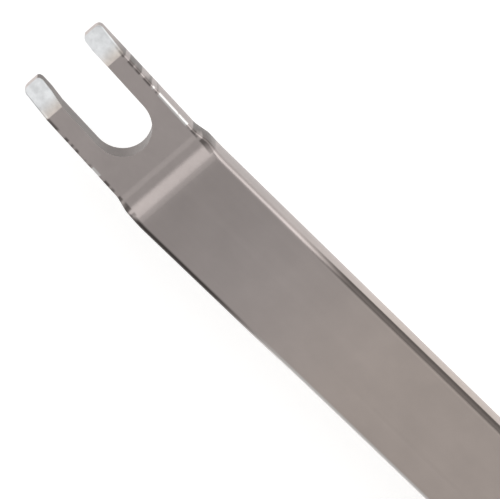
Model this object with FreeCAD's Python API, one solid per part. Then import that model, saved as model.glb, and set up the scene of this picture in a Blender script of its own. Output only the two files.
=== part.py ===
"""Double-ended spring bar tool: a forked flat blade at one end and a push pin at the other,
each held in a collet chuck on a knurled handle.

Millimetres. The tool lies along X with the fork towards -X, on the Z = 0 plane, resting on the
lower flats of its two hexagonal bushes. X = 0 is half way along the tool.
"""

import FreeCAD, Part

import math
import os

V = FreeCAD.Vector

# ---- driving dimensions ------------------------------------------------------------------

# forked blade
blade_width = 3.25
blade_thickness = 0.9
blade_reach = 26.0          # from the chuck's nose to the fork's tips
edge_round = 0.12           # rounding of the blade's four long edges
slot_width = 1.8            # takes the barrel of a 1.5 mm spring bar
slot_lip = 0.05             # by which each side of the slot closes in at the tips
slot_depth = 3.38
fork_inset = 0.1            # by which each side of the fork stands inside the bar's
shoulder_length = 0.45      # over which it comes out to the bar's width, up to the ramp
tip_length = 1.0            # ground bevel at the end of each prong
tip_slope = 25.0            # degrees
fork_land = 1.02            # from the slot's bottom to the foot of the ramp
fork_slope = 12.0           # degrees, upper face of the fork
back_slope = 10.0           # degrees, lower face of the fork
ramp_length = 0.5
ramp_drop = 0.22

# push pin
pin_shank_dia = 2.0
pin_tip_dia = 0.9
pin_tip_length = 8.0
pin_tip_edge = 0.22
pin_taper_length = 3.2
pin_reach = 19.0            # from the chuck's nose to the pin's tip

# collets, closing rings and chuck nuts
shank_wall = 0.45           # at the corners of the blade's passage
shank_start = 0.4           # inner end of the shank, from the barrel's end
head_step = 0.4             # head over shank, on the radius
head_length = 1.8           # cylindrical part of the head, before its cone
cone_taper = 0.45           # fall of the cone from the head to the nose, on the radius
cone_spare = 0.4            # cone left behind the closing ring
slit = 0.5
key_groove_depth = 0.45
key_groove_land = 0.3       # from the shank's inner end to the groove
key_travel = 2.4            # groove past the key screw's axis, outwards
ring_length = 2.6
ring_setback = 0.6          # from the collet's nose back to the ring's front face
nut_wall = 1.07
nut_gap = 0.9               # between a tightened nut and the hexagon
nut_lip = 1.2
nut_nose_length = 4.4
nut_nose_taper = 0.8        # on the radius
nut_edge = 0.35
flute_pitch = 0.72
flute_radius = 0.32
flute_depth = 0.2

# hexagonal bushes
bush_wall = 0.78            # round the collet's shank
hex_length = 5.0
hex_corner_chamfer = 0.45
spigot_length = 10.0
washer_thickness = 0.6
washer_inset = 0.3          # washer inside the barrel's surface, on the radius
thread_length = 8.0
thread_pitch = 0.5
thread_depth = 0.27

# handle barrel
barrel_length = 62.0
barrel_edge = 0.5
bore_spare = 1.0            # bore left beyond the spigot
groove_wall = 0.28          # left between a ring's groove and the bore
grip_ring_section = 1.3     # cord diameter of the rubber rings
grip_ring_proud = 0.22      # how far they stand out of the barrel
grip_ring_margin = 4.0      # from the barrel's end to the first ring
grip_ring_pitch = 2.6
rest_gap = 0.38             # between the rubber rings and the bench

# screws
key_screw_dia = 1.6
key_screw_socket = 0.8      # across the flats
key_socket_depth = 1.0
key_screw_recess = 0.25     # below the hexagon's flat
stop_screw_length = 5.0
stop_screw_socket = 2.0     # across the flats
stop_socket_depth = 2.0

# clearances, each on the radius or on one side
thread_fit = 0.02
sliding_fit = 0.02
blade_fit = 0.03
running_fit = 0.03
nose_gap = 0.13             # between the collet's nose and the hole in the nut's lip

# ---- what follows from them --------------------------------------------------------------

# Diameters, from the blade outwards.
passage_width = blade_width + 2 * blade_fit
passage_height = blade_thickness + 2 * blade_fit
shank_dia = math.hypot(passage_width, passage_height) + 2 * shank_wall
head_dia = shank_dia + 2 * head_step
nose_dia = head_dia - 2 * cone_taper
thread_dia = shank_dia + 2 * (sliding_fit + bush_wall)
nut_bore_dia = thread_dia + 2 * running_fit
nut_dia = nut_bore_dia + 2 * nut_wall
groove_depth = grip_ring_section + sliding_fit - grip_ring_proud
barrel_bore_dia = thread_dia + 2 * thread_fit
barrel_dia = barrel_bore_dia + 2 * (groove_wall + groove_depth)
washer_dia = barrel_dia - 2 * washer_inset
hex_flats = barrel_dia + 2 * (grip_ring_proud + rest_gap)
axis_height = hex_flats / 2

# Places along a chuck, counted outwards from the barrel's end face.
hex_start = washer_thickness
hex_end = hex_start + hex_length
thread_end = hex_end + thread_length
cone_start = thread_end + head_length
ring_back = cone_start + cone_spare
ring_front = ring_back + ring_length
nose = ring_front + ring_setback
nut_back = hex_end + nut_gap
nut_front = ring_front + nut_lip
key_place = hex_start + hex_length / 2

# Places along the whole tool.
fork_end = nut_front + blade_reach
pin_end = nut_front + pin_reach
total_length = fork_end + barrel_length + pin_end
barrel_left = -total_length / 2 + fork_end
barrel_right = barrel_left + barrel_length

# Places along the blade, counted from the fork's tips.
fork_length = slot_depth + fork_land
ramp_top = fork_length + ramp_length
tail = fork_end - shank_start


# ---- helpers -----------------------------------------------------------------------------

def turned(outline):
    """A solid turned about X from (x, radius) points that go once round its half section."""
    points = [V(x, 0, r) for x, r in outline]
    face = Part.Face(Part.makePolygon(points + points[:1]))
    return face.revolve(V(0, 0, 0), V(1, 0, 0), 360)


def rod(x0, x1, radius):
    return Part.makeCylinder(radius, x1 - x0, V(x0, 0, 0), V(1, 0, 0))


def box(x0, x1, width, height):
    """A block about the X axis, width along Y and height along Z."""
    return Part.makeBox(x1 - x0, width, height, V(x0, -width / 2, -height / 2))


def prism(points, direction):
    """Extrudes a closed polygon."""
    return Part.Face(Part.makePolygon(points + points[:1])).extrude(direction)


def hexagon(x0, x1, flats):
    """A hexagonal bar along X that stands on a flat."""
    corner = flats / 2 / math.cos(math.pi / 6)
    turns = [math.pi / 3 * i for i in range(6)]
    points = [V(x0, corner * math.cos(a), corner * math.sin(a)) for a in turns]
    return prism(points, V(x1 - x0, 0, 0))


def thread_outline(x0, x1, radius):
    """The crests and roots of a male thread, drawn as rings at the thread's pitch."""
    turns = int((x1 - x0) / thread_pitch)
    outline = []
    for i in range(turns):
        crest = x0 + i * thread_pitch
        outline.append((crest, radius))
        outline.append((crest + thread_pitch / 2, radius - thread_depth))
    return outline + [(x0 + turns * thread_pitch, radius)]


def to_fork_end(shape):
    """Places a chuck piece, drawn outwards along +X, at the fork's end of the barrel."""
    placed = shape.copy()
    placed.rotate(V(0, 0, 0), V(0, 0, 1), 180)
    placed.translate(V(barrel_left, 0, 0))
    return placed


def to_pin_end(shape):
    placed = shape.copy()
    placed.translate(V(barrel_right, 0, 0))
    return placed


# ---- pieces of a chuck -------------------------------------------------------------------

def key_hole():
    """The radial hole for the key screw, from the bush's bore to its upper flat."""
    radius = key_screw_dia / 2 + thread_fit
    return Part.makeCylinder(radius, hex_flats, V(key_place, 0, 0), V(0, 0, 1))


def make_washer():
    washer = rod(0, washer_thickness, washer_dia / 2)
    return washer.cut(rod(0, washer_thickness, barrel_bore_dia / 2))


def make_bush():
    """Hexagon with a spigot for the barrel on one side and a thread for the nut on the other."""
    corner = hex_flats / math.sqrt(3)
    cut_corner = corner - hex_corner_chamfer
    slope = hex_corner_chamfer / math.tan(math.radians(60))
    rounded = turned([
        (hex_start, 0), (hex_start, cut_corner), (hex_start + slope, corner),
        (hex_end - slope, corner), (hex_end, cut_corner), (hex_end, 0),
    ])
    head = hexagon(hex_start, hex_end, hex_flats).common(rounded)
    spigot = rod(-spigot_length, hex_start, thread_dia / 2)
    crests = thread_outline(hex_end, thread_end, thread_dia / 2)
    thread = turned([(hex_end, 0)] + crests + [(thread_end, thread_dia / 2), (thread_end, 0)])
    bore = rod(-spigot_length, thread_end, shank_dia / 2 + sliding_fit)
    return head.fuse([spigot, thread]).cut([bore, key_hole()])


def collet_blank():
    return turned([
        (shank_start, 0), (shank_start, shank_dia / 2), (thread_end, shank_dia / 2),
        (thread_end, head_dia / 2), (cone_start, head_dia / 2), (nose, nose_dia / 2), (nose, 0),
    ])


def key_groove():
    """The flat-bottomed groove that the key screw enters, in the top of a collet's shank."""
    bottom = shank_dia / 2 - key_groove_depth
    start = shank_start + key_groove_land
    length = key_place + key_travel - start
    width = key_screw_dia + 2 * sliding_fit
    return Part.makeBox(length, width, shank_dia, V(start, -width / 2, bottom))


def make_fork_collet():
    """Two jaws over and under a rectangular slot for the blade."""
    passage = box(0, nose, passage_width, passage_height)
    jaw_gap = box(thread_end, nose, head_dia, slit)
    return collet_blank().cut([passage, jaw_gap, key_groove()])


def make_pin_collet():
    """Four jaws round a bore for the pin."""
    bore = rod(0, nose, pin_shank_dia / 2 + blade_fit)
    gaps = [box(thread_end, nose, head_dia, slit), box(thread_end, nose, slit, head_dia)]
    return collet_blank().cut([bore, key_groove()] + gaps)


def cone_radius(x):
    """Radius of the collet's cone at x."""
    return head_dia / 2 - cone_taper * (x - cone_start) / (nose - cone_start)


def make_closing_ring():
    """Slides on the collet's cone without turning, and closes the jaws as the nut pushes it."""
    outer = thread_dia / 2
    return turned([
        (ring_back, outer), (ring_front, outer), (ring_front, cone_radius(ring_front) + sliding_fit),
        (ring_back, cone_radius(ring_back) + sliding_fit),
    ])


def make_nut():
    """Fluted sleeve with a conical nose, whose lip bears on the closing ring."""
    outer, bore = nut_dia / 2, nut_bore_dia / 2
    hole = cone_radius(ring_front) + nose_gap
    nose_start = nut_front - nut_nose_length
    body = turned([
        (nut_back, bore), (nut_back, outer - nut_edge), (nut_back + nut_edge, outer),
        (nose_start, outer), (nut_front, outer - nut_nose_taper), (nut_front, hole),
        (ring_front, hole), (ring_front, bore),
    ])
    flute_count = round(math.pi * nut_dia / flute_pitch)
    flute_centre = outer - flute_depth + flute_radius
    flutes = []
    for i in range(flute_count):
        start = V(nut_back, 0, flute_centre)
        flute = Part.makeCylinder(flute_radius, nose_start - nut_back, start, V(1, 0, 0))
        flute.rotate(V(0, 0, 0), V(1, 0, 0), 360 / flute_count * i)
        flutes.append(flute)
    return body.cut(flutes)


def make_key_screw():
    """Socket screw that keys a collet to its bush, standing in the collet's groove."""
    bottom = shank_dia / 2 - key_groove_depth
    top = hex_flats / 2 - key_screw_recess
    screw = Part.makeCylinder(key_screw_dia / 2, top - bottom, V(key_place, 0, bottom), V(0, 0, 1))
    socket = hexagon(0, key_socket_depth, key_screw_socket)
    socket.rotate(V(0, 0, 0), V(0, 1, 0), -90)
    socket.translate(V(key_place, 0, top - key_socket_depth))
    return screw.cut(socket)


def make_stop_screw():
    """Grub screw in the bush's bore, which the tang or the pin bottoms on."""
    start = shank_start - stop_screw_length
    screw = rod(start, shank_start, shank_dia / 2)
    return screw.cut(hexagon(start, start + stop_socket_depth, stop_screw_socket))


# ---- working ends ------------------------------------------------------------------------

def fall(length, degrees):
    return length * math.tan(math.radians(degrees))


def blade_side():
    """The blade's long section, from the tips at x = 0 to the tang's end, as a slab."""
    top = blade_thickness / 2
    foot = top - ramp_drop
    bevel_top = foot - fall(fork_length - tip_length, fork_slope)
    tip_top = bevel_top - fall(tip_length, tip_slope)
    tip_bottom = -top - fall(fork_length, back_slope)
    outline = [
        (0, tip_bottom), (0, tip_top), (tip_length, bevel_top), (fork_length, foot),
        (ramp_top, top), (tail, top), (tail, -top), (fork_length, -top),
    ]
    points = [V(x, -blade_width, z) for x, z in outline]
    return prism(points, V(0, 2 * blade_width, 0))


def blade_plan():
    """The blade seen from above, with the fork's slot, as a tall block."""
    half, fork_half, deep = blade_width / 2, blade_width / 2 - fork_inset, 2 * blade_width
    shoulder = fork_length - shoulder_length
    outline = [
        (0, -fork_half), (shoulder, -fork_half), (fork_length, -half), (tail, -half),
        (tail, half), (fork_length, half), (shoulder, fork_half), (0, fork_half),
    ]
    plan = prism([V(x, y, -deep / 2) for x, y in outline], V(0, 0, deep))
    r = slot_width / 2
    centre = slot_depth - r
    lip = r - slot_lip
    bottom = Part.Arc(V(centre, -r, 0), V(slot_depth, 0, 0), V(centre, r, 0)).toShape()
    edges = [
        Part.makeLine(V(-1, -lip, 0), V(tip_length / 2, -lip, 0)),
        Part.makeLine(V(tip_length / 2, -lip, 0), V(tip_length, -r, 0)),
        Part.makeLine(V(tip_length, -r, 0), V(centre, -r, 0)),
        bottom,
        Part.makeLine(V(centre, r, 0), V(tip_length, r, 0)),
        Part.makeLine(V(tip_length, r, 0), V(tip_length / 2, lip, 0)),
        Part.makeLine(V(tip_length / 2, lip, 0), V(-1, lip, 0)),
        Part.makeLine(V(-1, lip, 0), V(-1, -lip, 0)),
    ]
    slot = Part.Face(Part.Wire(edges)).extrude(V(0, 0, deep))
    slot.translate(V(0, 0, -deep / 2))
    return plan.cut(slot)


def make_fork_blade():
    blade = blade_side().common(blade_plan())
    long_edges = [
        e for e in blade.Edges
        if abs(e.BoundBox.XMax - tail) < 1e-6 and abs(e.BoundBox.XMin - ramp_top) < 1e-6
    ]
    blade = blade.makeFillet(edge_round, long_edges)
    # From tips at 0 pointing to -X, to a chuck's outward direction.
    blade.rotate(V(0, 0, 0), V(0, 0, 1), 180)
    blade.translate(V(fork_end, 0, 0))
    return blade


def make_push_pin():
    shank, tip = pin_shank_dia / 2, pin_tip_dia / 2
    tip_start = pin_end - pin_tip_length
    return turned([
        (shank_start, 0), (shank_start, shank), (tip_start - pin_taper_length, shank),
        (tip_start, tip), (pin_end - pin_tip_edge, tip), (pin_end, tip - pin_tip_edge),
        (pin_end, 0),
    ])


# ---- handle ------------------------------------------------------------------------------

def ring_places():
    """Middle of each rubber ring along X, two at each end of the barrel."""
    inset = [grip_ring_margin, grip_ring_margin + grip_ring_pitch]
    return [barrel_left + d for d in inset] + [barrel_right - d for d in reversed(inset)]


def ring_circle_radius():
    """Radius of the circle through the middle of a rubber ring's cord."""
    return barrel_dia / 2 + grip_ring_proud - grip_ring_section / 2


def make_barrel():
    outer, edge = barrel_dia / 2, barrel_edge
    body = turned([
        (barrel_left, 0), (barrel_left, outer - edge), (barrel_left + edge, outer),
        (barrel_right - edge, outer), (barrel_right, outer - edge), (barrel_right, 0),
    ])
    bore, bore_depth = barrel_bore_dia / 2, spigot_length + bore_spare
    cuts = [
        rod(barrel_left, barrel_left + bore_depth, bore),
        rod(barrel_right - bore_depth, barrel_right, bore),
    ]
    half = grip_ring_section / 2 + sliding_fit
    for x in ring_places():
        groove = rod(x - half, x + half, barrel_dia)
        cuts.append(groove.cut(rod(x - half, x + half, outer - groove_depth)))
    return body.cut(cuts)


def make_grip_ring(x):
    return Part.makeTorus(ring_circle_radius(), grip_ring_section / 2, V(x, 0, 0), V(1, 0, 0))


# ---- the tool ----------------------------------------------------------------------------

def make_tool():
    pieces = {"handle_barrel": make_barrel()}
    for i, x in enumerate(ring_places(), start=1):
        pieces[f"grip_ring_{i}"] = make_grip_ring(x)
    for end, place in (("fork", to_fork_end), ("pin", to_pin_end)):
        pieces[f"{end}_washer"] = place(make_washer())
        pieces[f"{end}_bush"] = place(make_bush())
        pieces[f"{end}_key_screw"] = place(make_key_screw())
        pieces[f"{end}_stop_screw"] = place(make_stop_screw())
        pieces[f"{end}_closing_ring"] = place(make_closing_ring())
        pieces[f"{end}_nut"] = place(make_nut())
    pieces["fork_collet"] = to_fork_end(make_fork_collet())
    pieces["pin_collet"] = to_pin_end(make_pin_collet())
    pieces["fork_blade"] = to_fork_end(make_fork_blade())
    pieces["push_pin"] = to_pin_end(make_push_pin())
    return pieces


os.makedirs("parts", exist_ok=True)
for name, shape in make_tool().items():
    shape.translate(V(0, 0, axis_height))
    if not shape.isValid() or shape.Volume <= 0:
        raise ValueError(f"{name} is not a valid solid")
    shape.exportStep(f"parts/{name}.step")
    print(name, len(shape.Solids), round(shape.Volume, 2))
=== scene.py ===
"""A double-ended spring bar tool: forked blade, push pin, and the knurled handle between them.

Metres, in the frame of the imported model: the tool lies along X with its fork towards -X.
"""

import bmesh
import bpy
import math
from mathutils import Matrix, Vector


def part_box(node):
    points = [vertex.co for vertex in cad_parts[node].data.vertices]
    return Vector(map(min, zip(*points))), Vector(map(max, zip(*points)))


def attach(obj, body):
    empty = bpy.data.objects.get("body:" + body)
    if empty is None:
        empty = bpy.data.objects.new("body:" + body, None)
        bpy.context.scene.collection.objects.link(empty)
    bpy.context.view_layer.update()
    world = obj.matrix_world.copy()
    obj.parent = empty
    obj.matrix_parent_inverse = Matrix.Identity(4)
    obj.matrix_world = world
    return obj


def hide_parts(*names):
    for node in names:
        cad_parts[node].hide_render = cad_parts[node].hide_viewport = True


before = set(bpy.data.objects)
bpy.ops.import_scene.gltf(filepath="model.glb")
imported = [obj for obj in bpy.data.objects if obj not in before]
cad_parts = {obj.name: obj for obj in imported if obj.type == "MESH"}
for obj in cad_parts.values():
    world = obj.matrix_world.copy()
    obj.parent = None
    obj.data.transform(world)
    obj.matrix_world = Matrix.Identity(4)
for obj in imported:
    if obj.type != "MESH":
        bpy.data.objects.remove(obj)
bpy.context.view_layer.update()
mm = 0.001


# ---- Forked blade ------------------------------------------------------------------------
# The working end: a flat bar of hardened stainless steel. Its fork is ground thin behind a
# short ramp and slotted to straddle a spring bar, its faces are satin finished along their
# length, its corners are rubbed round, and the two tips are stoned to a bright bevel.

blade_low, blade_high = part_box("fork_blade")
blade_half = (blade_high.y - blade_low.y) / 2
blade_top = 0.45 * mm                       # half the bar's thickness
blade_middle = blade_high.z - blade_top
blade_tail = blade_high.x - blade_low.x

slot_half = 0.9 * mm
slot_lip = 0.85 * mm
slot_depth = 3.38 * mm
tip_length = 1.0 * mm
tip_slope = math.radians(25)
tip_corner = 0.16 * mm
fork_half = blade_half - 0.1 * mm
fork_slope = math.radians(12)
back_slope = math.radians(10)
ramp_foot = slot_depth + 1.02 * mm
ramp_head = ramp_foot + 0.5 * mm
ramp_drop = 0.22 * mm
shoulder = 0.45 * mm
wheel_mark = 0.25 * mm                      # a fainter step where the grinding wheel ran out
wheel_mark_length = 0.16 * mm
wheel_mark_drop = 0.01 * mm

tip_edge_ease = 0.08 * mm
wheel_mark_ease = 0.9 * mm
ramp_foot_ease = 0.8 * mm
ramp_head_ease = 1.2 * mm
back_ease = 6.0 * mm
shoulder_ease = 0.8 * mm

satin_colour = (0.60, 0.535, 0.515)
warmed = (1.05, 1.02, 0.97)                 # times the satin colour, away from the fork
bevel_foot_colour = (0.54, 0.49, 0.45, 1)
bevel_tip_colour = (0.68, 0.69, 0.70, 1)
# a painted bright reflection on the left corner
painted_bright_reflection_colour = (1.0, 0.97, 0.95, 1)
nick_colour = (0.82, 0.80, 0.78, 1)
# painted shade in the slot and painted dark reflections on the corners
painted_dark_colour = (0.07, 0.06, 0.055, 1)


def eased(outline, radii, steps=6):
    """An open outline with each inner corner eased over its radius."""
    points = [Vector(p) for p in outline]
    line = [points[0]]
    for before, corner, after, radius in zip(points, points[1:], points[2:], radii):
        back, ahead = (before - corner).normalized(), (after - corner).normalized()
        reach = radius * math.tan(back.angle(-ahead) / 2)
        start, end = corner + back * reach, corner + ahead * reach
        for k in range(steps + 1):
            u = k / steps
            line.append(start * (1 - u) ** 2 + corner * 2 * u * (1 - u) + end * u ** 2)
    return line + [points[-1]]


def along(line, s):
    """Second coordinate of a line at s."""
    for a, b in zip(line, line[1:]):
        if s <= b[0]:
            return a[1] + (b[1] - a[1]) * (s - a[0]) / max(b[0] - a[0], 1e-12)
    return line[-1][1]


def fork_height(s):
    """The fork's upper face, under the ramp's foot and above the bevel."""
    return blade_top - ramp_drop - (ramp_foot - s) * math.tan(fork_slope)


mark_foot = ramp_foot - wheel_mark
mark_end = mark_foot - wheel_mark_length
upper = eased(
    [(0, fork_height(tip_length) - tip_length * math.tan(tip_slope)),
     (tip_length, fork_height(tip_length)), (mark_end, fork_height(mark_end) - wheel_mark_drop),
     (mark_foot, fork_height(mark_foot)), (ramp_foot, fork_height(ramp_foot)),
     (ramp_head, blade_top), (blade_tail, blade_top)],
    [tip_edge_ease, wheel_mark_ease, wheel_mark_ease, ramp_foot_ease, ramp_head_ease])
lower = eased(
    [(0, -blade_top - ramp_foot * math.tan(back_slope)), (ramp_foot, -blade_top),
     (blade_tail, -blade_top)], [back_ease])

quarter = [math.pi / 2 * k / 14 for k in range(15)]
slot_edge = [
    (0, slot_lip + tip_corner * 0.6), (tip_corner * 0.3, slot_lip + tip_corner * 0.2),
    (tip_corner * 0.8, slot_lip), (tip_length / 2, slot_lip), (tip_length, slot_half)]
slot_edge += [(slot_depth - slot_half + slot_half * math.sin(a), slot_half * math.cos(a))
              for a in quarter]
tip_round = [(tip_corner * (1 - math.cos(a)), fork_half - tip_corner * (1 - math.sin(a)))
             for a in quarter[::3]]
outer_edge = tip_round + [tuple(p) for p in eased(
    [(ramp_foot - shoulder - 0.5 * mm, fork_half), (ramp_foot - shoulder, fork_half),
     (ramp_foot, blade_half), (blade_tail, blade_half)], [shoulder_ease, shoulder_ease])]
corner_round = [(0, 0.05 * mm), (ramp_foot, 0.07 * mm), (ramp_head, 0.14 * mm),
                (ramp_head + 9 * mm, 0.2 * mm)]


def new_piece(name, bm, crease=25):
    """An object from a bmesh, smooth but for the edges that turn more than crease degrees."""
    bmesh.ops.remove_doubles(bm, verts=bm.verts, dist=1e-7)
    bmesh.ops.dissolve_degenerate(bm, edges=bm.edges, dist=1e-8)
    bmesh.ops.recalc_face_normals(bm, faces=bm.faces)
    mesh = bpy.data.meshes.new(name)
    bm.to_mesh(mesh)
    bm.free()
    mesh.shade_smooth()
    mesh.set_sharp_from_angle(angle=math.radians(crease))
    piece = bpy.data.objects.new(name, mesh)
    bpy.context.scene.collection.objects.link(piece)
    return piece


def blade_section(s):
    """Half of the blade's section at s, from the inner top edge round to the inner lower one."""
    inner = along(slot_edge, s) if s < slot_depth else 0
    outer, top, bottom = along(outer_edge, s), along(upper, s), along(lower, s)
    r = along(corner_round, s)
    turns = [math.pi / 2 * k / 5 for k in range(6)]
    upper_corner = [(outer - r + r * math.sin(a), top - r + r * math.cos(a)) for a in turns]
    lower_corner = [(outer - r + r * math.cos(a), bottom + r - r * math.sin(a)) for a in turns]
    flat_end = outer - r * 1.3
    return ([(inner, top), (flat_end, top)] + upper_corner + lower_corner
            + [(flat_end, bottom), (inner, bottom)])


def blade_mesh():
    lines = (upper, lower, slot_edge, outer_edge, corner_round)
    steps = [ramp_head * k / 10 for k in range(1, 15)]
    steps += [ramp_head + (blade_tail - ramp_head) * k / 16 for k in range(1, 16)]
    stations = sorted({round(p[0], 9) for line in lines for p in line} | set(steps))
    bm = bmesh.new()
    for side in (1, -1):
        rings = [
            [bm.verts.new((blade_low.x + s, side * y, blade_middle + z)) for y, z in blade_section(s)]
            for s in stations]
        for s, a, b in zip(stations, rings, rings[1:]):
            for k in range(len(a) - 1):
                bm.faces.new((a[k], a[k + 1], b[k + 1], b[k]))
            if s < slot_depth - 1e-9:
                bm.faces.new((a[-1], a[0], b[0], b[-1]))
        bm.faces.new(rings[0])
        bm.faces.new(rings[-1])
    return bm


fork_blade = new_piece("forked_blade", blade_mesh(), crease=30)
stoned = fork_blade.modifiers.new("stoned edges", "BEVEL")
stoned.width = 0.04 * mm
stoned.segments = 3
stoned.limit_method = "ANGLE"
stoned.angle_limit = math.radians(60)


def shader(name, metallic, roughness):
    """A material, as a function that adds a node to it and one that joins its shader up."""
    material = bpy.data.materials.new(name)
    material.use_nodes = True
    tree = material.node_tree
    principled = tree.nodes["Principled BSDF"]
    principled.inputs["Metallic"].default_value = metallic
    principled.inputs["Roughness"].default_value = roughness

    def add(kind, inputs, output=0, **settings):
        made = tree.nodes.new("ShaderNode" + kind)
        for key, value in settings.items():
            setattr(made, key, value)
        for key, value in inputs.items():
            if isinstance(value, bpy.types.NodeSocket):
                tree.links.new(value, made.inputs[key])
            else:
                made.inputs[key].default_value = value
        return made.outputs[output]

    def finish(**inputs):
        for key, value in inputs.items():
            tree.links.new(value, principled.inputs[key.replace("_", " ")])
        return material

    return add, finish


def ground_steel(add, colour, grain, mottle, around=False):
    """Place, colour and scratches of steel ground along X, or turned about it. The stretch is in
    waves to the metre, few along the scratches and many across them."""
    place = add("TexCoord", {}, "Object")
    stretch = (1 / grain, 70, 70) if around else (50, 1 / grain, 1 / grain)
    lines = add("Mapping", {"Vector": place, "Scale": stretch})
    scratches = add("TexNoise", {"Vector": lines, "Scale": 1.0, "Detail": 4.0, "Roughness": 0.65})
    blotches = add("TexNoise", {"Vector": place, "Scale": 900.0, "Detail": 3.0, "Roughness": 0.6})
    clouds = add("TexNoise", {"Vector": place, "Scale": 260.0, "Detail": 2.0})
    mixed = add("Mix", {"Factor": 0.4, "A": blotches, "B": clouds}, data_type="FLOAT")
    tone = add("MapRange", {"Value": mixed, "From Min": 0.32, "From Max": 0.68,
                            "To Min": 1 - mottle, "To Max": 1 + mottle})
    base = add("VectorMath", {0: colour, "Scale": tone}, operation="SCALE")
    return place, base, scratches


def scratched(add, scratches, roughness, spread, depth):
    """Roughness and relief of a scratched surface."""
    dull = add("MapRange", {"Value": scratches, "From Min": 0.3, "From Max": 0.7,
                            "To Min": roughness - spread, "To Max": roughness + spread})
    relief = add("Bump", {"Strength": 0.6, "Distance": depth, "Height": scratches})
    return {"Roughness": dull, "Normal": relief}


def steps_up(add, value, low, high):
    """0 below low, 1 above high, smooth between. With low above high it steps down."""
    return add("MapRange", {"Value": value, "From Min": low, "From Max": high},
               interpolation_type="SMOOTHSTEP")


def times(add, *factors):
    product = factors[0]
    for factor in factors[1:]:
        product = add("Math", {0: product, 1: factor}, operation="MULTIPLY")
    return product


def size_of(add, value):
    return add("Math", {0: value}, operation="ABSOLUTE")


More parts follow.
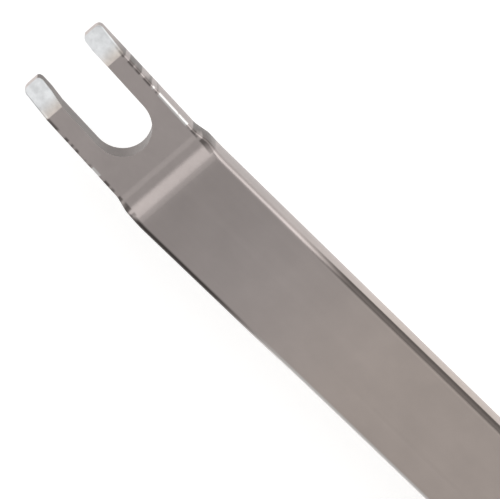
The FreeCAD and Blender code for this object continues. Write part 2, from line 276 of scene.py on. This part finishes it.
def blade_steel():
    """Satin steel, bright on the stoned bevels, with painted light along its length, painted shade on
    its sides and in the slot, and painted dark and bright reflections in places along its corners."""
    add, finish = shader("satin_blade_steel", 1.0, 0.36)
    place, base, scratches = ground_steel(add, satin_colour, 0.04 * mm, 0.05)
    x = add("SeparateXYZ", {"Vector": place}, "X")
    y = x.node.outputs["Y"]
    s = add("Math", {0: x, 1: blade_low.x}, operation="SUBTRACT")
    n = add("SeparateXYZ", {"Vector": add("NewGeometry", {}, "Normal")}, "Y")
    sideways, upward = size_of(add, n), n.node.outputs["Z"]

    # Painted light: the bar is a little brighter away from the fork, and painted shade darkens its
    # sides. It is also a little warmer away from the fork.
    painted_light_along_blade = add("MapRange", {"Value": s, "From Min": 5.5 * mm, "From Max": 11.5 * mm,
                                   "To Min": 0.88, "To Max": 1.11})
    painted_side_shade = add("MapRange", {"Value": sideways, "From Min": 0.3, "From Max": 0.7,
                                 "To Min": 1.0, "To Max": 0.7})
    base = add("VectorMath", {0: base, "Scale": times(add, painted_light_along_blade, painted_side_shade)},
               operation="SCALE")
    warmer = add("VectorMath", {0: base, 1: warmed}, operation="MULTIPLY")
    base = add("Mix", {"Factor": steps_up(add, s, 7 * mm, 14 * mm), "A": base, "B": warmer}, 2,
               data_type="RGBA")

    # Fresh marks of the stone on the two tip bevels.
    stone_marks = add("TexNoise", {"Vector": place, "Scale": 3500.0, "Detail": 3.0})
    stone_tone = add("MapRange", {"Value": stone_marks, "From Min": 0.35, "From Max": 0.65,
                                  "To Min": 0.88, "To Max": 1.1})
    fresh = add("Mix", {"Factor": steps_up(add, s, tip_length, tip_length * 0.55),
                        "A": bevel_foot_colour, "B": bevel_tip_colour}, 2, data_type="RGBA")
    fresh = add("VectorMath", {0: fresh, "Scale": stone_tone}, operation="SCALE")
    stoned_face = times(add, steps_up(add, s, tip_length * 1.02, tip_length * 0.97),
                        steps_up(add, upward, 0.2, 0.5))
    base = add("Mix", {"Factor": stoned_face, "A": base, "B": fresh}, 2, data_type="RGBA")

    # Painted shade darkens the slot's walls, painted dark reflections lie on stretches of the corners,
    #     and a painted bright reflection lies on the left corner further back. Left and right are as
    #     seen from the handle.
    in_slot = times(add, steps_up(add, size_of(add, y), slot_half + 0.06 * mm, slot_half + 0.02 * mm),
                    steps_up(add, s, slot_depth + 0.1 * mm, slot_depth + 0.05 * mm),
                    steps_up(add, size_of(add, upward), 0.7, 0.4))
    corner = times(add, steps_up(add, size_of(add, y), blade_half - 0.2 * mm, blade_half - 0.12 * mm),
                   steps_up(add, s, ramp_foot, ramp_head), steps_up(add, sideways, 0.995, 0.93))
    right_corner = times(add, steps_up(add, y, 0, 0.5 * mm), steps_up(add, s, 8.0 * mm, 10.5 * mm))
    left_corner = times(add, steps_up(add, y, 0, -0.5 * mm), steps_up(add, s, 10.5 * mm, 7.5 * mm))
    # A painted bright reflection on the left corner, away from the fork.
    edge_wear_and_painted_reflection = times(add, corner, steps_up(add, y, 0, -0.5 * mm), steps_up(add, s, 8.5 * mm, 12 * mm))
    base = add("Mix", {"Factor": edge_wear_and_painted_reflection, "A": base, "B": painted_bright_reflection_colour}, 2, data_type="RGBA")
    corners = add("Math", {0: right_corner, 1: left_corner}, operation="ADD")

    # Dashes of the same painted dark reflection, and small nicks, along the fork's outer edges.
    dashes = add("TexNoise", {"Vector": add("Mapping", {"Vector": place, "Scale": (2600, 300, 300)}),
                              "Scale": 1.0, "Detail": 1.0})
    fork_edge = times(add, steps_up(add, s, ramp_head, ramp_foot),
                      steps_up(add, size_of(add, y), fork_half - 0.13 * mm, fork_half - 0.07 * mm),
                      steps_up(add, s, tip_length * 0.5, tip_length * 1.2))
    nicks = times(add, fork_edge, steps_up(add, upward, 0.1, 0.3), steps_up(add, dashes, 0.46, 0.42))
    base = add("Mix", {"Factor": nicks, "A": base, "B": nick_colour}, 2, data_type="RGBA")
    on_fork = times(add, fork_edge, steps_up(add, dashes, 0.49, 0.55), 0.8)
    # Painted dark: dark reflections on the corners and dashes on the fork, and shade in the slot.
    painted_dark_mask = add("Math", {0: times(add, corner, corners), 1: on_fork}, operation="MAXIMUM")
    painted_dark_mask = add("Math", {0: painted_dark_mask, 1: times(add, in_slot, 0.75)}, operation="MAXIMUM")
    base = add("Mix", {"Factor": times(add, painted_dark_mask, 0.92), "A": base, "B": painted_dark_colour}, 2,
               data_type="RGBA")
    return finish(Base_Color=base, **scratched(add, scratches, 0.36, 0.04, 0.001 * mm))


fork_blade.data.materials.append(blade_steel())
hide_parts("fork_blade")
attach(fork_blade, "fork_tip")


# ---- Collets and stop screws ---------------------------------------------------------------
# Spring steel jaws, slit, hardened and tempered to a dull grey, which grip the blade and the
# pin. Behind each, deep in its bush, a blackened grub screw stops the tang.

def tempered_steel():
    add, finish = shader("tempered_collet_steel", 1.0, 0.42)
    _, base, scratches = ground_steel(add, (0.40, 0.385, 0.37), 0.05 * mm, 0.12, around=True)
    return finish(Base_Color=base, **scratched(add, scratches, 0.42, 0.08, 0.002 * mm))


def black_oxide():
    """Oiled black oxide, browned where a key has rubbed it."""
    add, finish = shader("black_oxide", 0.85, 0.4)
    place = add("TexCoord", {}, "Object")
    patches = add("TexNoise", {"Vector": place, "Scale": 1400.0, "Detail": 5.0, "Roughness": 0.7})
    worn = add("MapRange", {"Value": patches, "From Min": 0.5, "From Max": 0.75})
    base = add("Mix", {"Factor": worn, "A": (0.045, 0.045, 0.05, 1), "B": (0.13, 0.11, 0.095, 1)}, 2,
               data_type="RGBA")
    return finish(Base_Color=base, **scratched(add, patches, 0.42, 0.12, 0.004 * mm))


collet_finish, screw_finish = tempered_steel(), black_oxide()
for end in ("fork", "pin"):
    for node, finish in ((f"{end}_collet", collet_finish), (f"{end}_stop_screw", screw_finish)):
        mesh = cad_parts[node].data
        mesh.materials.clear()
        mesh.materials.append(finish)


# ---- Chuck nuts ----------------------------------------------------------------------------
# Stainless sleeves, bored and turned, fluted for the fingers, with a turned conical nose
# whose lip pushes the closing ring. Each screws along the thread of its bush.

axis_height = sum(p.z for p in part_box("fork_nut")) / 2
flute_count = 36
flute_radius = 0.32 * mm
flute_depth = 0.2 * mm
nut_edge = 0.35 * mm
nut_nose_length = 4.4 * mm
nut_nose_taper = 0.8 * mm
nut_lip = 1.2 * mm
nut_wall = 1.07 * mm
nut_corner = 0.08 * mm
nose_step = 0.15 * mm                       # a slight fall ahead of the nose's cone
nose_step_drop = 0.02 * mm
lip_hole = 2.328 * mm
flute_runout = 0.3 * mm
flute_steps = 14                            # faces from one flute to the next


def at(x, radius, turn):
    """A point at that radius from the tool's axis. A quarter turn is straight up."""
    return (x, radius * math.cos(turn), axis_height + radius * math.sin(turn))


def wrap_round(bm, columns, closed=False):
    """Faces between neighbouring columns of points, once round."""
    count = len(columns[0])
    for a, b in zip(columns, columns[1:] + columns[:1]):
        for i in range(count if closed else count - 1):
            j = (i + 1) % count
            bm.faces.new((a[i], a[j], b[j], b[i]))


def turned(name, profile, sides, closed=True):
    """A piece turned about the tool's axis. profile(turn) gives its (x, radius) points at that
    angle, once round its half section if it is closed, or else from one end to the other."""
    bm = bmesh.new()
    turns = [2 * math.pi * k / sides for k in range(sides)]
    wrap_round(bm, [[bm.verts.new(at(x, r, turn)) for x, r in profile(turn)] for turn in turns], closed)
    return new_piece(name, bm)


def outward(node, end):
    """A node's two ends along X, the one nearer the barrel first, and which way is outward."""
    low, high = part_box(node)
    return (high.x, low.x, -1) if end == "fork" else (low.x, high.x, 1)


def nut_profile(end):
    back, front, way = outward(f"{end}_nut", end)
    low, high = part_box(f"{end}_nut")
    outer = (high.y - low.y) / 2
    bore = outer - nut_wall
    centre = outer - flute_depth + flute_radius
    nose = front - way * nut_nose_length

    def profile(turn):
        swing = (turn * flute_count / (2 * math.pi) + 0.5) % 1 - 0.5
        offset = outer * swing * 2 * math.pi / flute_count
        dip = 0
        if abs(offset) < flute_radius:
            dip = max(0, outer - (centre - math.sqrt(flute_radius ** 2 - offset ** 2)))
        return [
            (front - way * nut_lip, bore), (back + way * nut_corner, bore), (back, bore + nut_corner),
            (back, outer - nut_edge), (back + way * nut_edge / 2, outer - max(nut_edge * 0.3, dip)),
            (back + way * nut_edge, outer - dip), (nose - way * flute_runout, outer - dip),
            (nose, outer), (nose + way * nose_step, outer - nose_step_drop),
            (front - way * nut_corner, outer - nut_nose_taper),
            (front, outer - nut_nose_taper - nut_corner), (front, lip_hole + nut_corner),
            (front - way * nut_corner, lip_hole), (front - way * nut_lip, lip_hole)]

    return profile


def rubbed_bright(add, base):
    """Corners that years of handling have polished."""
    edges = add("NewGeometry", {}, "Pointiness")
    edge_wear_and_painted_reflection = add("MapRange", {"Value": edges, "From Min": 0.53, "From Max": 0.6, "To Max": 0.4})
    return add("Mix", {"Factor": edge_wear_and_painted_reflection, "A": base, "B": (0.86, 0.84, 0.82, 1)}, 2, data_type="RGBA")


def turned_steel(name, colour, roughness=0.3):
    """Stainless steel with fine turning rings."""
    add, finish = shader(name, 1.0, roughness)
    _, base, scratches = ground_steel(add, colour, 0.05 * mm, 0.05, around=True)
    return finish(Base_Color=rubbed_bright(add, base),
                  **scratched(add, scratches, roughness, 0.07, 0.0025 * mm))


nut_finish = turned_steel("turned_nut_steel", (0.60, 0.57, 0.55))
for end in ("fork", "pin"):
    nut = turned(f"{end}_chuck_nut", nut_profile(end), flute_count * flute_steps)
    nut.data.materials.append(nut_finish)
    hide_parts(f"{end}_nut")
    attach(nut, f"{end}_nut")


# ---- Closing rings and washers -------------------------------------------------------------
# Turned brass. A closing ring slides on the collet's cone ahead of the nut's lip, and a
# washer stands between each hexagon and the end of the barrel.

barrel_low, barrel_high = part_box("handle_barrel")
barrel_radius = (barrel_high.y - barrel_low.y) / 2
barrel_bore = barrel_radius - 1.38 * mm
ring_bore_back = 2.543 * mm
ring_bore_front = 2.218 * mm
ring_edge = 0.08 * mm
ring_bores = {"fork": (ring_bore_front, ring_bore_back), "pin": (ring_bore_back, ring_bore_front)}


def brass():
    add, finish = shader("turned_brass", 1.0, 0.3)
    place, base, scratches = ground_steel(add, (0.72, 0.53, 0.26), 0.04 * mm, 0.06, around=True)
    spots = add("TexNoise", {"Vector": place, "Scale": 700.0, "Detail": 4.0, "Roughness": 0.7})
    tarnish = add("MapRange", {"Value": spots, "From Min": 0.5, "From Max": 0.72, "To Max": 0.6})
    base = add("Mix", {"Factor": tarnish, "A": base, "B": (0.42, 0.27, 0.12, 1)}, 2, data_type="RGBA")
    return finish(Base_Color=base, **scratched(add, scratches, 0.33, 0.08, 0.002 * mm))


def ring_profile(node, bore_left, bore_right):
    """A plain ring with broken edges, between its two bore radii."""
    low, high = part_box(node)
    outer = (high.y - low.y) / 2
    points = [
        (low.x, bore_left), (low.x, outer - ring_edge), (low.x + ring_edge, outer),
        (high.x - ring_edge, outer), (high.x, outer - ring_edge), (high.x, bore_right)]
    return lambda turn: points


brass_finish = brass()
for end in ("fork", "pin"):
    closing = turned(f"{end}_brass_closing_ring",
                     ring_profile(f"{end}_closing_ring", *ring_bores[end]), 96)
    washer = turned(f"{end}_brass_washer", ring_profile(f"{end}_washer", barrel_bore, barrel_bore), 128)
    for piece, node, body in ((closing, "closing_ring", f"{end}_ring"), (washer, "washer", "root")):
        piece.data.materials.append(brass_finish)
        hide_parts(f"{end}_{node}")
        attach(piece, body)


# ---- Hexagonal bushes ----------------------------------------------------------------------
# Turned from hexagonal stainless bar, with chamfered ends and lightly ground flats. A spigot
# screws into the barrel, the outer thread carries the nut, and the collet slides in the bore.
# A countersunk hole in the top flat takes the key screw.

hex_length = 5.0 * mm
hex_chamfer = 0.45 * mm
hex_corner_round = 0.4 * mm
spigot_length = 10.0 * mm
thread_length = 8.0 * mm
thread_pitch = 0.5 * mm
thread_depth = 0.27 * mm
thread_flank = 1.25                         # share of that depth a flank falls in half a pitch
thread_crest = 0.12                         # share of that fall the flat crest leaves out
thread_radius = barrel_bore - 0.02 * mm
bush_bore = thread_radius - 0.78 * mm
key_hole_radius = 0.82 * mm
key_hole_edge = 0.08 * mm
hex_sides = 480
thread_rows = 256                           # points along the thread
thread_sides = 96


def hexagon_radius(turn, flats, corner_round):
    """Radius of a hexagon that stands on a flat, with rounded corners."""
    from_corner = abs((turn + math.pi / 6) % (math.pi / 3) - math.pi / 6)
    half = flats / 2
    centre = (half - corner_round) / math.cos(math.pi / 6)
    if from_corner < math.pi / 6 - math.atan2(centre / 2, half):
        across = centre * math.sin(from_corner)
        return centre * math.cos(from_corner) + math.sqrt(corner_round ** 2 - across ** 2)
    return half / math.cos(math.pi / 6 - from_corner)


def hexagon_profile(end):
    """The hexagon and its spigot, from inside the barrel outwards."""
    start, x0, way = outward(f"{end}_washer", end)
    low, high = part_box(f"{end}_bush")
    flats = high.z - low.z
    corner = flats / math.sqrt(3)
    cut = corner - hex_chamfer
    slope = hex_chamfer / math.tan(math.radians(60))
    x1 = x0 + way * hex_length
    inner_end = start - way * spigot_length

    def profile(turn):
        r = hexagon_radius(turn, flats, hex_corner_round)
        back = way * slope * max(0, r - cut) / (corner - cut)
        return [(inner_end, bush_bore), (inner_end, thread_radius), (x0, thread_radius),
                (x0, min(r, cut)), (x0 + back, r), (x1 - back, r), (x1, min(r, cut)),
                (x1, thread_radius - thread_depth), (x1, bush_bore)]

    return profile


def thread_profile(end):
    """The bush's outer thread, a right-handed helix, with its bore."""
    _, x0, way = outward(f"{end}_washer", end)
    start = x0 + way * hex_length
    root = thread_radius - thread_depth

    def profile(turn):
        points = []
        for k in range(thread_rows + 1):
            u = thread_length * k / thread_rows
            phase = abs((u / thread_pitch - way * turn / (2 * math.pi)) % 1 - 0.5) * 2
            r = thread_radius - thread_depth * min(1, max(0, thread_flank * phase - thread_crest))
            points.append((start + way * u, min(r, root + u, root + thread_length - u)))
        return points + [(start + way * thread_length, bush_bore), (start, bush_bore)]

    return profile


def upright(outline_at, x, sides):
    """A bmesh turned about a vertical line through the tool's axis, from (radius, z) points."""
    bm = bmesh.new()
    turns = [2 * math.pi * k / sides for k in range(sides)]
    wrap_round(bm, [[bm.verts.new((x + r * math.cos(turn), r * math.sin(turn), z))
                     for r, z in outline_at(turn)] for turn in turns])
    return bm


def drill_key_hole(piece, end):
    """Drills the key screw's hole down into a bush's bore, with its edge broken."""
    low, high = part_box(f"{end}_key_screw")
    top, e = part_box(f"{end}_bush")[1].z, key_hole_edge
    outline = [(0, axis_height), (key_hole_radius, axis_height), (key_hole_radius, top - e),
               (key_hole_radius + 2 * e, top + e), (0, top + e)]
    drill = new_piece("key_hole_drill", upright(lambda turn: outline, (low.x + high.x) / 2, 64))
    cut = piece.modifiers.new("key hole", "BOOLEAN")
    cut.solver = "EXACT"
    cut.object = drill
    bpy.context.view_layer.update()
    whole = piece.evaluated_get(bpy.context.evaluated_depsgraph_get())
    drilled = bpy.data.meshes.new_from_object(whole)
    piece.modifiers.remove(cut)
    piece.data = drilled
    drilled.set_sharp_from_angle(angle=math.radians(25))
    bpy.data.objects.remove(drill)


def hexagon_steel():
    """Lightly ground along the flats, rubbed at the corners."""
    add, finish = shader("hexagon_steel", 1.0, 0.28)
    _, base, scratches = ground_steel(add, (0.58, 0.55, 0.53), 0.06 * mm, 0.05)
    return finish(Base_Color=rubbed_bright(add, base),
                  **scratched(add, scratches, 0.28, 0.07, 0.002 * mm))


hexagon_finish = hexagon_steel()
thread_finish = turned_steel("thread_steel", (0.52, 0.49, 0.47), 0.34)
for end in ("fork", "pin"):
    hexagon = turned(f"{end}_hexagon", hexagon_profile(end), hex_sides)
    drill_key_hole(hexagon, end)
    hexagon.data.materials.append(hexagon_finish)
    thread = turned(f"{end}_bush_thread", thread_profile(end), thread_sides)
    thread.data.materials.append(thread_finish)
    for piece in (hexagon, thread):
        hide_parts(f"{end}_bush")
        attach(piece, "root")


# ---- Key screws ----------------------------------------------------------------------------
# A small blackened socket screw through the top flat of each hexagon. Its tip stands in the
# collet's groove, so that the collet can slide but not turn.

screw_edge = 0.09 * mm
socket_flats = 0.8 * mm
socket_depth = 1.0 * mm
socket_edge = 0.04 * mm
socket_point = 0.15 * mm                    # left by the drill at the socket's bottom


def key_screw_outline(low, high):
    radius = (high.x - low.x) / 2

    def outline(turn):
        key = hexagon_radius(turn, socket_flats, 0)
        return [
            (0, low.z), (radius - screw_edge, low.z), (radius, low.z + screw_edge),
            (radius, high.z - screw_edge), (radius - screw_edge, high.z), (key + socket_edge, high.z),
            (key, high.z - socket_edge), (key, high.z - socket_depth),
            (0, high.z - socket_depth - socket_point)]

    return outline


for end in ("fork", "pin"):
    low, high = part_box(f"{end}_key_screw")
    screw = new_piece(f"{end}_socket_screw",
                      upright(key_screw_outline(low, high), (low.x + high.x) / 2, 48))
    screw.data.materials.append(screw_finish)
    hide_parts(f"{end}_key_screw")
    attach(screw, "root")


# ---- Handle barrel -------------------------------------------------------------------------
# Turned from round stainless bar. Two diamond knurled bands, each between relief grooves, a
# satin band between them for the finger, and two grooves near each end for rubber rings.

barrel_edge = 0.5 * mm
bore_depth = 11.0 * mm
ring_slot_half = 0.67 * mm
ring_slot_depth = 1.1 * mm
slot_edge_break = 0.08 * mm
knurl_around = 52
knurl_length = 0.92 * mm                    # of one diamond along the barrel
knurl_depth = 0.2 * mm
knurl_land = 0.34                           # flat top of a diamond, as a share of its half size
relief_width = 0.7 * mm
finger_band = 13.0 * mm
from_ring = 1.6 * mm                        # from the middle of a rubber ring to the relief groove
sides_per_diamond = 4

ring_middles = [sum(p.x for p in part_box(f"grip_ring_{i}")) / 2 for i in range(1, 5)]
barrel_middle = (barrel_low.x + barrel_high.x) / 2
root_radius = barrel_radius - knurl_depth
knurled = [(ring_middles[1] + from_ring, barrel_middle - finger_band / 2),
           (barrel_middle + finger_band / 2, ring_middles[2] - from_ring)]


def barrel_outline():
    """(x, radius) from the left bore round to the right one. None marks a knurled band."""
    left, right = barrel_low.x, barrel_high.x
    cuts = [(x - ring_slot_half, x + ring_slot_half, "ring") for x in ring_middles]
    cuts += [(a, b, "knurl") for a, b in knurled]
    line = [(left + bore_depth, 0), (left + bore_depth, barrel_bore), (left, barrel_bore),
            (left, barrel_radius - barrel_edge), (left + barrel_edge, barrel_radius)]
    for a, b, kind in sorted(cuts):
        e = slot_edge_break
        if kind == "ring":
            floor = barrel_radius - ring_slot_depth
            line += [(a - e, barrel_radius), (a, barrel_radius - e), (a, floor), (b, floor),
                     (b, barrel_radius - e), (b + e, barrel_radius)]
        else:
            line += [(a, barrel_radius), (a + knurl_depth, root_radius),
                     (a + relief_width, root_radius), None, (b - relief_width, root_radius),
                     (b - knurl_depth, root_radius), (b, barrel_radius)]
    return line + [(right - barrel_edge, barrel_radius), (right, barrel_radius - barrel_edge),
                   (right, barrel_bore), (right - bore_depth, barrel_bore), (right - bore_depth, 0)]


def knurl_band(bm, first, last):
    """Truncated diamonds between two circles of points at the knurl's root."""
    x0, x1 = first[0].co.x, last[0].co.x
    rows = 2 * round((x1 - x0) / knurl_length)
    step = 2 * math.pi / knurl_around
    crossings = [first[::sides_per_diamond]]
    for j in range(1, rows):
        x = x0 + (x1 - x0) * j / rows
        crossings.append([
            bm.verts.new(at(x, root_radius, step * (i + j % 2 / 2))) for i in range(knurl_around)])
    crossings.append(last[::sides_per_diamond])
    reach = (x1 - x0) / rows * knurl_land
    swing = step / 2 * knurl_land
    for j in range(1, rows):
        x = x0 + (x1 - x0) * j / rows
        for i in range(knurl_around):
            turn = step * (i + (1 - j % 2) / 2)
            before = i - 1 if j % 2 else i
            after = i if j % 2 else (i + 1) % knurl_around
            corners = [crossings[j - 1][i], crossings[j][after],
                       crossings[j + 1][i], crossings[j][before]]
            tops = [bm.verts.new(at(x + dx * reach, barrel_radius, turn + dt * swing))
                    for dx, dt in ((-1, 0), (0, 1), (1, 0), (0, -1))]
            bm.faces.new(tops)
            for k in range(4):
                bm.faces.new((corners[k], corners[(k + 1) % 4], tops[(k + 1) % 4], tops[k]))
    for circle, row in ((first, crossings[1]), (last, crossings[-2])):
        for i in range(knurl_around):
            k = i * sides_per_diamond
            arc = [circle[(k + n) % len(circle)] for n in range(sides_per_diamond + 1)]
            bm.faces.new(arc + [row[i]])


def barrel_mesh():
    sides = knurl_around * sides_per_diamond
    bm = bmesh.new()
    circles = [point and [bm.verts.new(at(*point, 2 * math.pi * k / sides)) for k in range(sides)]
               for point in barrel_outline()]
    for i, (a, b) in enumerate(zip(circles, circles[1:])):
        if a and b:
            for k in range(sides):
                n = (k + 1) % sides
                bm.faces.new((a[k], a[n], b[n], b[k]))
        elif a:
            knurl_band(bm, a, circles[i + 2])
    return bm


def barrel_steel():
    """Satin turned stainless, with old grime in the roots of the knurl."""
    add, finish = shader("barrel_steel", 1.0, 0.32)
    place, base, scratches = ground_steel(add, (0.60, 0.575, 0.555), 0.05 * mm, 0.05, around=True)
    y = add("SeparateXYZ", {"Vector": place}, "Y")
    z = add("Math", {0: y.node.outputs["Z"], 1: axis_height}, operation="SUBTRACT")
    radius = add("VectorMath", {0: add("CombineXYZ", {"X": y, "Y": z})}, 1, operation="LENGTH")
    grime = add("TexNoise", {"Vector": place, "Scale": 500.0, "Detail": 4.0})
    dirty = times(add, steps_up(add, radius, barrel_radius - knurl_depth * 0.35, root_radius),
                  add("MapRange", {"Value": grime, "From Min": 0.35, "From Max": 0.65,
                                   "To Min": 0.25, "To Max": 0.75}))
    base = add("Mix", {"Factor": dirty, "A": base, "B": (0.10, 0.09, 0.08, 1)}, 2, data_type="RGBA")
    return finish(Base_Color=base, **scratched(add, scratches, 0.32, 0.07, 0.0025 * mm))


barrel = new_piece("knurled_barrel", barrel_mesh())
barrel.data.materials.append(barrel_steel())
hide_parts("handle_barrel")
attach(barrel, "root")


# ---- Grip rings ----------------------------------------------------------------------------
# Four moulded rubber rings sprung into the barrel's grooves, so that it doesn't roll or slip.
# A fine line from the mould runs round each.

mould_line = 0.03 * mm
ring_steps = 28


def grip_ring_profile(low, high):
    half = (high.x - low.x) / 2
    circle = (high.y - low.y) / 2 - half
    middle = (low.x + high.x) / 2
    points = []
    for k in range(ring_steps):
        a = 2 * math.pi * k / ring_steps
        r = half if k == 0 else half - mould_line
        points.append((middle + r * math.sin(a), circle + r * math.cos(a)))
    return lambda turn: points


def rubber():
    add, finish = shader("grip_rubber", 0.0, 0.6)
    place = add("TexCoord", {}, "Object")
    fine = add("TexNoise", {"Vector": place, "Scale": 6000.0, "Detail": 3.0})
    dust = add("TexNoise", {"Vector": place, "Scale": 600.0, "Detail": 5.0, "Roughness": 0.7})
    dusty = add("MapRange", {"Value": dust, "From Min": 0.45, "From Max": 0.75})
    base = add("Mix", {"Factor": dusty, "A": (0.016, 0.016, 0.018, 1), "B": (0.06, 0.058, 0.055, 1)},
               2, data_type="RGBA")
    return finish(Base_Color=base, **scratched(add, fine, 0.6, 0.08, 0.006 * mm))


rubber_finish = rubber()
for i in range(1, 5):
    ring = turned(f"rubber_ring_{i}", grip_ring_profile(*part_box(f"grip_ring_{i}")), 128)
    ring.data.materials.append(rubber_finish)
    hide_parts(f"grip_ring_{i}")
    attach(ring, "root")


# ---- Push pin ------------------------------------------------------------------------------
# A hardened steel pin, turned and polished, tapered down to a slim tip that pushes the end of
# a spring bar out of a drilled lug. The tip's edge is broken so that it doesn't scratch.

pin_low, pin_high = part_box("push_pin")
pin_shank = (pin_high.y - pin_low.y) / 2
pin_tip = 0.45 * mm
pin_tip_length = 8.0 * mm
pin_taper_length = 3.2 * mm
pin_tip_edge = 0.22 * mm


def pin_outline():
    start = pin_high.x - pin_tip_length
    line = eased(
        [(pin_low.x, pin_shank), (start - pin_taper_length, pin_shank), (start, pin_tip),
         (pin_high.x - pin_tip_edge, pin_tip), (pin_high.x, pin_tip - pin_tip_edge)],
        [1.2 * mm, 1.2 * mm, 0.1 * mm])
    return [(pin_low.x, 0)] + [tuple(p) for p in line] + [(pin_high.x, 0)]


pin_points = pin_outline()
pin = turned("turned_push_pin", lambda turn: pin_points, 96, closed=False)
pin.data.materials.append(turned_steel("polished_pin_steel", (0.64, 0.62, 0.61), 0.22))
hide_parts("push_pin")
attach(pin, "pin_tip")


# ---- Bench, light and camera ---------------------------------------------------------------
# A pale bench top that glows faintly, and soft white lights. The brightest and broadest is a
# window beside the tool. One beyond the fork's tips makes the ramp and the bevels shine.

bench_size = 6.0

bpy.ops.mesh.primitive_grid_add(x_subdivisions=8, y_subdivisions=8, size=bench_size)
bench = bpy.context.active_object
bench.name = "bench_top"
bench_finish = shader("bench_top", 0.0, 0.85)[1]()
bench.data.materials.append(bench_finish)
bench_shader = bench_finish.node_tree.nodes["Principled BSDF"]
bench_shader.inputs["Base Color"].default_value = (0.86, 0.86, 0.855, 1)
bench_shader.inputs["Emission Color"].default_value = (1, 1, 1, 1)
bench_shader.inputs["Emission Strength"].default_value = 0.4

world = bpy.data.worlds.new("soft room")
world.use_nodes = True
world.node_tree.nodes["Background"].inputs["Color"].default_value = (1, 1, 1, 1)
world.node_tree.nodes["Background"].inputs["Strength"].default_value = 0.42
bpy.context.scene.world = world


def soft_light(name, direction, distance, size, power):
    """A soft rectangular light that faces the tool's middle and isn't seen itself."""
    data = bpy.data.lights.new(name, "AREA")
    data.shape = "RECTANGLE"
    data.size, data.size_y = size
    data.energy = power
    light = bpy.data.objects.new(name, data)
    light.location = Vector(direction).normalized() * distance
    light.rotation_mode = "QUATERNION"
    light.rotation_quaternion = Vector(direction).to_track_quat("Z", "Y")
    light.visible_camera = False
    bpy.context.scene.collection.objects.link(light)


soft_light("tip light", (-0.80, -0.42, 0.62), 0.9, (0.55, 0.9), 1.4)
soft_light("window light", (-0.1, 0.8, 0.7), 1.3, (2.4, 1.6), 15.0)
soft_light("far light", (0.9, 0.1, 0.5), 1.2, (0.8, 0.8), 1.0)

view_elevation = math.radians(65)
view_width = 14.25 * mm
blade_turn = math.radians(46.8)             # of the blade across the view, from level
aim_place = 4.5 * mm                        # on the fork, from its tips
aim_right = 2.30 * mm                       # of that place
aim_down = 1.96 * mm
right = Vector((math.cos(blade_turn), math.sin(blade_turn), 0))
camera_side = Vector((-math.sin(blade_turn), math.cos(blade_turn), 0))
toward = camera_side * math.cos(view_elevation) + Vector((0, 0, 1)) * math.sin(view_elevation)
up = camera_side * math.sin(view_elevation) - Vector((0, 0, 1)) * math.cos(view_elevation)
fork_end = Vector((blade_low.x + aim_place, 0, blade_high.z - ramp_drop / 2))
aim = fork_end + right * aim_right - up * aim_down

lens = bpy.data.cameras.new("camera")
lens.lens = 400
lens.sensor_width = 36
lens.clip_start = 0.01
lens.clip_end = 20
distance = view_width * lens.lens / lens.sensor_width
camera = bpy.data.objects.new("camera", lens)
camera.matrix_world = Matrix.Translation(aim + toward * distance) @ Matrix(
    (right, up, toward)).transposed().to_4x4()
bpy.context.scene.collection.objects.link(camera)
bpy.context.scene.camera = camera
bpy.context.scene.view_settings.view_transform = "Standard"
